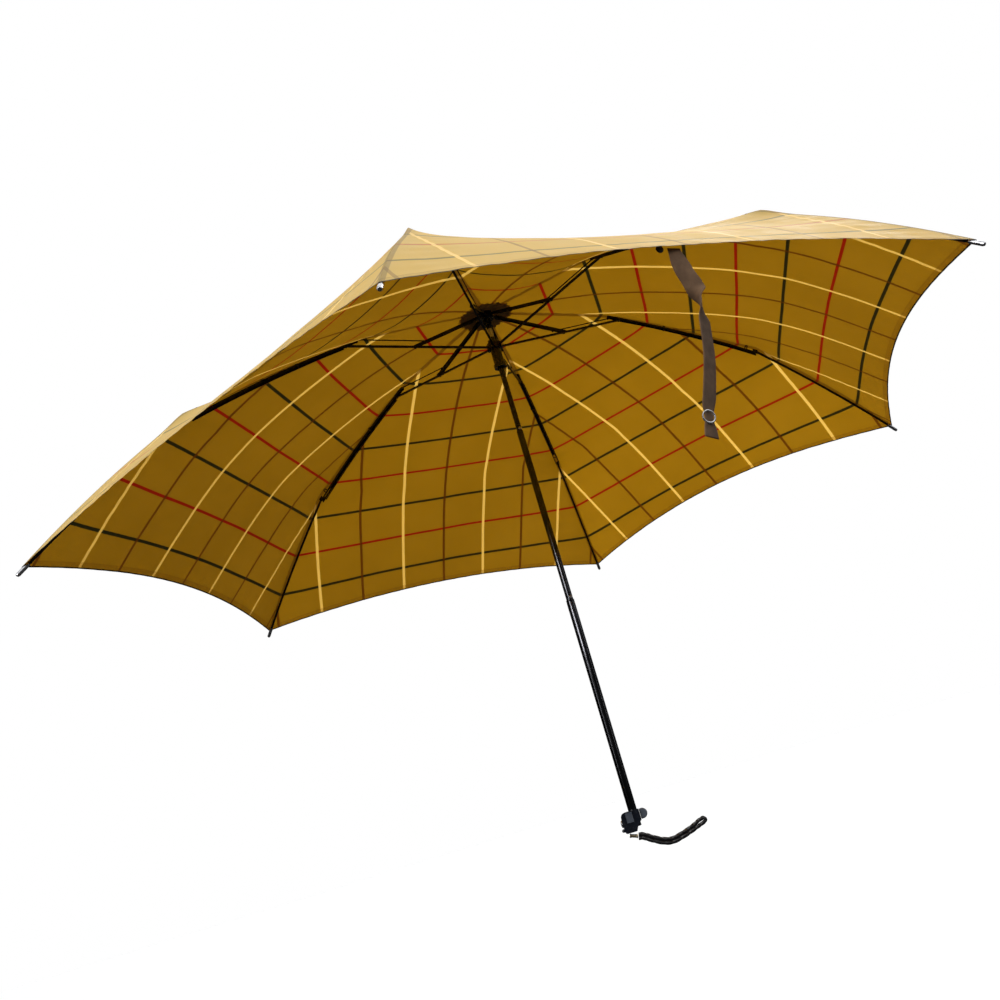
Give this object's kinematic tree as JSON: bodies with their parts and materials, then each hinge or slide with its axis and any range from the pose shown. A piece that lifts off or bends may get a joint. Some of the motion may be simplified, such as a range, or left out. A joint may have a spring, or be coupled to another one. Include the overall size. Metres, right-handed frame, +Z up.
{
  "type": "folding umbrella",
  "caption": "Open compact umbrella with folding ribs, telescoping shaft, sliding runner, checked cloth canopy and a short handle with wrist loop.",
  "frame": {"origin": "on the shaft axis at the lower end of the handle, where a hand holds it", "axes": "+Z up the shaft towards the crown, +X along the first rib, +Y away from the closing strap's side"},
  "size_m": [0.9728, 0.843, 0.5927],
  "materials": {
    "canopy_cloth": "woven polyester, golden yellow with red, green and brown checks",
    "brown_cloth": "brown rosette cloth with a pinked edge",
    "strap_cloth": "woven tape, taupe brown",
    "black_steel": "black lacquered spring steel",
    "shaft_steel": "gunmetal plated tube",
    "bright_steel": "nickel plated",
    "black_plastic": "glossy blue-black moulding",
    "grey_plastic": "satin grey-blue moulding",
    "brass": "pale gold crimped ferrule",
    "leather": "black braided leather cord"
  },
  "bodies": {
    "handle": {"lower_tube": "shaft_steel", "handle_body": "black_plastic", "face_plate": "grey_plastic", "side_tab": "grey_plastic", "cord_ferrule": "brass", "wrist_cord": "leather"},
    "middle_tube": {"middle_tube": "shaft_steel"},
    "top_tube": {"top_tube": "shaft_steel", "top_notch": "black_plastic", "ferrule_cap": "black_plastic", "canopy": "canopy_cloth", "crown_patch": "brown_cloth"},
    "runner": {"runner": "black_plastic"},
    "runner_catch": {"runner_catch": "bright_steel"},
    "lower_button": {"lower_button": "bright_steel"},
    "upper_button": {"upper_button": "bright_steel"},
    "strap": {"strap": "strap_cloth", "strap_ring": "bright_steel"},
    "top_rib_1": {"top_rib_1": "black_steel"},
    "stretcher_1": {"stretcher_1": "black_steel"},
    "middle_rib_1": {"middle_rib_1": "black_steel"},
    "inner_link_1": {"inner_link_1": "black_steel"},
    "outer_link_1": {"outer_link_1": "shaft_steel"},
    "outer_rib_1": {"outer_rib_1": "black_steel", "rib_tip_1": "bright_steel"},
    "top_rib_2": {"top_rib_2": "black_steel"},
    "stretcher_2": {"stretcher_2": "black_steel"},
    "middle_rib_2": {"middle_rib_2": "black_steel"},
    "inner_link_2": {"inner_link_2": "black_steel"},
    "outer_link_2": {"outer_link_2": "shaft_steel"},
    "outer_rib_2": {"outer_rib_2": "black_steel", "rib_tip_2": "bright_steel"},
    "top_rib_3": {"top_rib_3": "black_steel"},
    "stretcher_3": {"stretcher_3": "black_steel"},
    "middle_rib_3": {"middle_rib_3": "black_steel"},
    "inner_link_3": {"inner_link_3": "black_steel"},
    "outer_link_3": {"outer_link_3": "shaft_steel"},
    "outer_rib_3": {"outer_rib_3": "black_steel", "rib_tip_3": "bright_steel"},
    "top_rib_4": {"top_rib_4": "black_steel"},
    "stretcher_4": {"stretcher_4": "black_steel"},
    "middle_rib_4": {"middle_rib_4": "black_steel"},
    "inner_link_4": {"inner_link_4": "black_steel"},
    "outer_link_4": {"outer_link_4": "shaft_steel"},
    "outer_rib_4": {"outer_rib_4": "black_steel", "rib_tip_4": "bright_steel"},
    "top_rib_5": {"top_rib_5": "black_steel"},
    "stretcher_5": {"stretcher_5": "black_steel"},
    "middle_rib_5": {"middle_rib_5": "black_steel"},
    "inner_link_5": {"inner_link_5": "black_steel"},
    "outer_link_5": {"outer_link_5": "shaft_steel"},
    "outer_rib_5": {"outer_rib_5": "black_steel", "rib_tip_5": "bright_steel"},
    "top_rib_6": {"top_rib_6": "black_steel"},
    "stretcher_6": {"stretcher_6": "black_steel"},
    "middle_rib_6": {"middle_rib_6": "black_steel"},
    "inner_link_6": {"inner_link_6": "black_steel"},
    "outer_link_6": {"outer_link_6": "shaft_steel"},
    "outer_rib_6": {"outer_rib_6": "black_steel", "rib_tip_6": "bright_steel"}
  },
  "joints": [
    {"name": "lower_tube_slide", "type": "slide", "parent": "handle", "child": "middle_tube", "axis": [0, 0, 1], "range_m": [-0.18, 0], "deforming": ["lower_button"]},
    {"name": "upper_tube_slide", "type": "slide", "parent": "middle_tube", "child": "top_tube", "axis": [0, 0, 1], "range_m": [-0.124, 0], "deforming": ["upper_button"]},
    {"name": "runner_slide", "type": "slide", "parent": "top_tube", "child": "runner", "axis": [0, 0, 1], "range_m": [-0.12739, 0], "deforming": ["canopy", "crown_patch", "runner_catch"]},
    {"name": "lower_button_press", "type": "slide", "parent": "middle_tube", "child": "lower_button", "axis": [0, 1, 0], "range_m": [0, 0.0012], "stiffness_N_per_m": 300, "springref_m": -0.002},
    {"name": "upper_button_press", "type": "slide", "parent": "top_tube", "child": "upper_button", "axis": [0, 1, 0], "range_m": [0, 0.0012], "stiffness_N_per_m": 300, "springref_m": -0.002},
    {"name": "runner_catch_press", "type": "slide", "parent": "top_tube", "child": "runner_catch", "axis": [-1, 0, 0], "range_m": [0, 0.0024], "stiffness_N_per_m": 250, "springref_m": -0.002},
    {"name": "top_rib_hinge_1", "type": "hinge", "parent": "top_tube", "child": "top_rib_1", "pos_m": [0.007, 0, 0.557], "axis": [0, -1, 0], "range_deg": [-67.46, 0]},
    {"name": "stretcher_hinge_1", "type": "hinge", "parent": "runner", "child": "stretcher_1", "pos_m": [0.0075, 0, 0.52], "axis": [0, -1, 0], "range_deg": [0, 79.93]},
    {"name": "middle_rib_hinge_1", "type": "hinge", "parent": "stretcher_1", "child": "middle_rib_1", "pos_m": [0.16, 0, 0.538], "axis": [0, -1, 0], "range_deg": [-147.39, 0]},
    {"name": "inner_link_hinge_1", "type": "hinge", "parent": "middle_rib_1", "child": "inner_link_1", "pos_m": [0.14785, 0, 0.54263], "axis": [0, -1, 0], "range_deg": [0, 147.39]},
    {"name": "outer_link_slide_1", "type": "slide", "parent": "middle_rib_1", "child": "outer_link_1", "axis": [0.9345, 0, -0.3561], "range_m": [0, 0.00501]},
    {"name": "outer_rib_hinge_1", "type": "hinge", "parent": "middle_rib_1", "child": "outer_rib_1", "pos_m": [0.327, 0, 0.478], "axis": [0, -1, 0], "range_deg": [0, 190.94]},
    {"name": "top_rib_hinge_2", "type": "hinge", "parent": "top_tube", "child": "top_rib_2", "pos_m": [0.0035, 0.00606, 0.557], "axis": [0.866, -0.5, 0], "range_deg": [-67.46, 0]},
    {"name": "stretcher_hinge_2", "type": "hinge", "parent": "runner", "child": "stretcher_2", "pos_m": [0.00375, 0.00649, 0.52], "axis": [0.866, -0.5, 0], "range_deg": [0, 79.93]},
    {"name": "middle_rib_hinge_2", "type": "hinge", "parent": "stretcher_2", "child": "middle_rib_2", "pos_m": [0.08, 0.13856, 0.538], "axis": [0.866, -0.5, 0], "range_deg": [-147.39, 0]},
    {"name": "inner_link_hinge_2", "type": "hinge", "parent": "middle_rib_2", "child": "inner_link_2", "pos_m": [0.07393, 0.12804, 0.54263], "axis": [0.866, -0.5, 0], "range_deg": [0, 147.39]},
    {"name": "outer_link_slide_2", "type": "slide", "parent": "middle_rib_2", "child": "outer_link_2", "axis": [0.4672, 0.8093, -0.3561], "range_m": [0, 0.00501]},
    {"name": "outer_rib_hinge_2", "type": "hinge", "parent": "middle_rib_2", "child": "outer_rib_2", "pos_m": [0.1635, 0.28319, 0.478], "axis": [0.866, -0.5, 0], "range_deg": [0, 190.94]},
    {"name": "top_rib_hinge_3", "type": "hinge", "parent": "top_tube", "child": "top_rib_3", "pos_m": [-0.0035, 0.00606, 0.557], "axis": [0.866, 0.5, 0], "range_deg": [-67.46, 0]},
    {"name": "stretcher_hinge_3", "type": "hinge", "parent": "runner", "child": "stretcher_3", "pos_m": [-0.00375, 0.00649, 0.52], "axis": [0.866, 0.5, 0], "range_deg": [0, 79.93]},
    {"name": "middle_rib_hinge_3", "type": "hinge", "parent": "stretcher_3", "child": "middle_rib_3", "pos_m": [-0.08, 0.13856, 0.538], "axis": [0.866, 0.5, 0], "range_deg": [-147.39, 0]},
    {"name": "inner_link_hinge_3", "type": "hinge", "parent": "middle_rib_3", "child": "inner_link_3", "pos_m": [-0.07393, 0.12804, 0.54263], "axis": [0.866, 0.5, 0], "range_deg": [0, 147.39]},
    {"name": "outer_link_slide_3", "type": "slide", "parent": "middle_rib_3", "child": "outer_link_3", "axis": [-0.4672, 0.8093, -0.3561], "range_m": [0, 0.00501]},
    {"name": "outer_rib_hinge_3", "type": "hinge", "parent": "middle_rib_3", "child": "outer_rib_3", "pos_m": [-0.1635, 0.28319, 0.478], "axis": [0.866, 0.5, 0], "range_deg": [0, 190.94]},
    {"name": "top_rib_hinge_4", "type": "hinge", "parent": "top_tube", "child": "top_rib_4", "pos_m": [-0.007, 0, 0.557], "axis": [0, 1, 0], "range_deg": [-67.46, 0]},
    {"name": "stretcher_hinge_4", "type": "hinge", "parent": "runner", "child": "stretcher_4", "pos_m": [-0.0075, 0, 0.52], "axis": [0, 1, 0], "range_deg": [0, 79.93]},
    {"name": "middle_rib_hinge_4", "type": "hinge", "parent": "stretcher_4", "child": "middle_rib_4", "pos_m": [-0.16, 0, 0.538], "axis": [0, 1, 0], "range_deg": [-147.39, 0]},
    {"name": "inner_link_hinge_4", "type": "hinge", "parent": "middle_rib_4", "child": "inner_link_4", "pos_m": [-0.14785, 0, 0.54263], "axis": [0, 1, 0], "range_deg": [0, 147.39]},
    {"name": "outer_link_slide_4", "type": "slide", "parent": "middle_rib_4", "child": "outer_link_4", "axis": [-0.9345, 0, -0.3561], "range_m": [0, 0.00501]},
    {"name": "outer_rib_hinge_4", "type": "hinge", "parent": "middle_rib_4", "child": "outer_rib_4", "pos_m": [-0.327, 0, 0.478], "axis": [0, 1, 0], "range_deg": [0, 190.94]},
    {"name": "top_rib_hinge_5", "type": "hinge", "parent": "top_tube", "child": "top_rib_5", "pos_m": [-0.0035, -0.00606, 0.557], "axis": [-0.866, 0.5, 0], "range_deg": [-67.46, 0]},
    {"name": "stretcher_hinge_5", "type": "hinge", "parent": "runner", "child": "stretcher_5", "pos_m": [-0.00375, -0.00649, 0.52], "axis": [-0.866, 0.5, 0], "range_deg": [0, 79.93]},
    {"name": "middle_rib_hinge_5", "type": "hinge", "parent": "stretcher_5", "child": "middle_rib_5", "pos_m": [-0.08, -0.13856, 0.538], "axis": [-0.866, 0.5, 0], "range_deg": [-147.39, 0]},
    {"name": "inner_link_hinge_5", "type": "hinge", "parent": "middle_rib_5", "child": "inner_link_5", "pos_m": [-0.07393, -0.12804, 0.54263], "axis": [-0.866, 0.5, 0], "range_deg": [0, 147.39]},
    {"name": "outer_link_slide_5", "type": "slide", "parent": "middle_rib_5", "child": "outer_link_5", "axis": [-0.4672, -0.8093, -0.3561], "range_m": [0, 0.00501]},
    {"name": "outer_rib_hinge_5", "type": "hinge", "parent": "middle_rib_5", "child": "outer_rib_5", "pos_m": [-0.1635, -0.28319, 0.478], "axis": [-0.866, 0.5, 0], "range_deg": [0, 190.94]},
    {"name": "top_rib_hinge_6", "type": "hinge", "parent": "top_tube", "child": "top_rib_6", "pos_m": [0.0035, -0.00606, 0.557], "axis": [-0.866, -0.5, 0], "range_deg": [-67.46, 0]},
    {"name": "stretcher_hinge_6", "type": "hinge", "parent": "runner", "child": "stretcher_6", "pos_m": [0.00375, -0.00649, 0.52], "axis": [-0.866, -0.5, 0], "range_deg": [0, 79.93]},
    {"name": "middle_rib_hinge_6", "type": "hinge", "parent": "stretcher_6", "child": "middle_rib_6", "pos_m": [0.08, -0.13856, 0.538], "axis": [-0.866, -0.5, 0], "range_deg": [-147.39, 0]},
    {"name": "inner_link_hinge_6", "type": "hinge", "parent": "middle_rib_6", "child": "inner_link_6", "pos_m": [0.07393, -0.12804, 0.54263], "axis": [-0.866, -0.5, 0], "range_deg": [0, 147.39]},
    {"name": "outer_link_slide_6", "type": "slide", "parent": "middle_rib_6", "child": "outer_link_6", "axis": [0.4672, -0.8093, -0.3561], "range_m": [0, 0.00501]},
    {"name": "outer_rib_hinge_6", "type": "hinge", "parent": "middle_rib_6", "child": "outer_rib_6", "pos_m": [0.1635, -0.28319, 0.478], "axis": [-0.866, -0.5, 0], "range_deg": [0, 190.94]},
    {"name": "strap_gather", "type": "slide", "parent": "top_tube", "child": "strap", "axis": [0, 0.9021, 0.4315], "range_m": [0, 0.38243]}
  ],
  "couplings": [
    {"joint": "top_rib_hinge_1", "follows": "runner_slide", "rad_per_m": 9.2418},
    {"joint": "stretcher_hinge_1", "follows": "runner_slide", "rad_per_m": -10.95},
    {"joint": "middle_rib_hinge_1", "follows": "runner_slide", "rad_per_m": 20.192},
    {"joint": "inner_link_hinge_1", "follows": "runner_slide", "rad_per_m": -20.192},
    {"joint": "outer_link_slide_1", "follows": "runner_slide", "ratio": -0.03925},
    {"joint": "outer_rib_hinge_1", "follows": "runner_slide", "rad_per_m": -26.16},
    {"joint": "top_rib_hinge_2", "follows": "runner_slide", "rad_per_m": 9.2418},
    {"joint": "stretcher_hinge_2", "follows": "runner_slide", "rad_per_m": -10.95},
    {"joint": "middle_rib_hinge_2", "follows": "runner_slide", "rad_per_m": 20.192},
    {"joint": "inner_link_hinge_2", "follows": "runner_slide", "rad_per_m": -20.192},
    {"joint": "outer_link_slide_2", "follows": "runner_slide", "ratio": -0.03925},
    {"joint": "outer_rib_hinge_2", "follows": "runner_slide", "rad_per_m": -26.16},
    {"joint": "top_rib_hinge_3", "follows": "runner_slide", "rad_per_m": 9.2418},
    {"joint": "stretcher_hinge_3", "follows": "runner_slide", "rad_per_m": -10.95},
    {"joint": "middle_rib_hinge_3", "follows": "runner_slide", "rad_per_m": 20.192},
    {"joint": "inner_link_hinge_3", "follows": "runner_slide", "rad_per_m": -20.192},
    {"joint": "outer_link_slide_3", "follows": "runner_slide", "ratio": -0.03925},
    {"joint": "outer_rib_hinge_3", "follows": "runner_slide", "rad_per_m": -26.16},
    {"joint": "top_rib_hinge_4", "follows": "runner_slide", "rad_per_m": 9.2418},
    {"joint": "stretcher_hinge_4", "follows": "runner_slide", "rad_per_m": -10.95},
    {"joint": "middle_rib_hinge_4", "follows": "runner_slide", "rad_per_m": 20.192},
    {"joint": "inner_link_hinge_4", "follows": "runner_slide", "rad_per_m": -20.192},
    {"joint": "outer_link_slide_4", "follows": "runner_slide", "ratio": -0.03925},
    {"joint": "outer_rib_hinge_4", "follows": "runner_slide", "rad_per_m": -26.16},
    {"joint": "top_rib_hinge_5", "follows": "runner_slide", "rad_per_m": 9.2418},
    {"joint": "stretcher_hinge_5", "follows": "runner_slide", "rad_per_m": -10.95},
    {"joint": "middle_rib_hinge_5", "follows": "runner_slide", "rad_per_m": 20.192},
    {"joint": "inner_link_hinge_5", "follows": "runner_slide", "rad_per_m": -20.192},
    {"joint": "outer_link_slide_5", "follows": "runner_slide", "ratio": -0.03925},
    {"joint": "outer_rib_hinge_5", "follows": "runner_slide", "rad_per_m": -26.16},
    {"joint": "top_rib_hinge_6", "follows": "runner_slide", "rad_per_m": 9.2418},
    {"joint": "stretcher_hinge_6", "follows": "runner_slide", "rad_per_m": -10.95},
    {"joint": "middle_rib_hinge_6", "follows": "runner_slide", "rad_per_m": 20.192},
    {"joint": "inner_link_hinge_6", "follows": "runner_slide", "rad_per_m": -20.192},
    {"joint": "outer_link_slide_6", "follows": "runner_slide", "ratio": -0.03925},
    {"joint": "outer_rib_hinge_6", "follows": "runner_slide", "rad_per_m": -26.16},
    {"joint": "strap_gather", "follows": "runner_slide", "ratio": -3.002}
  ]
}
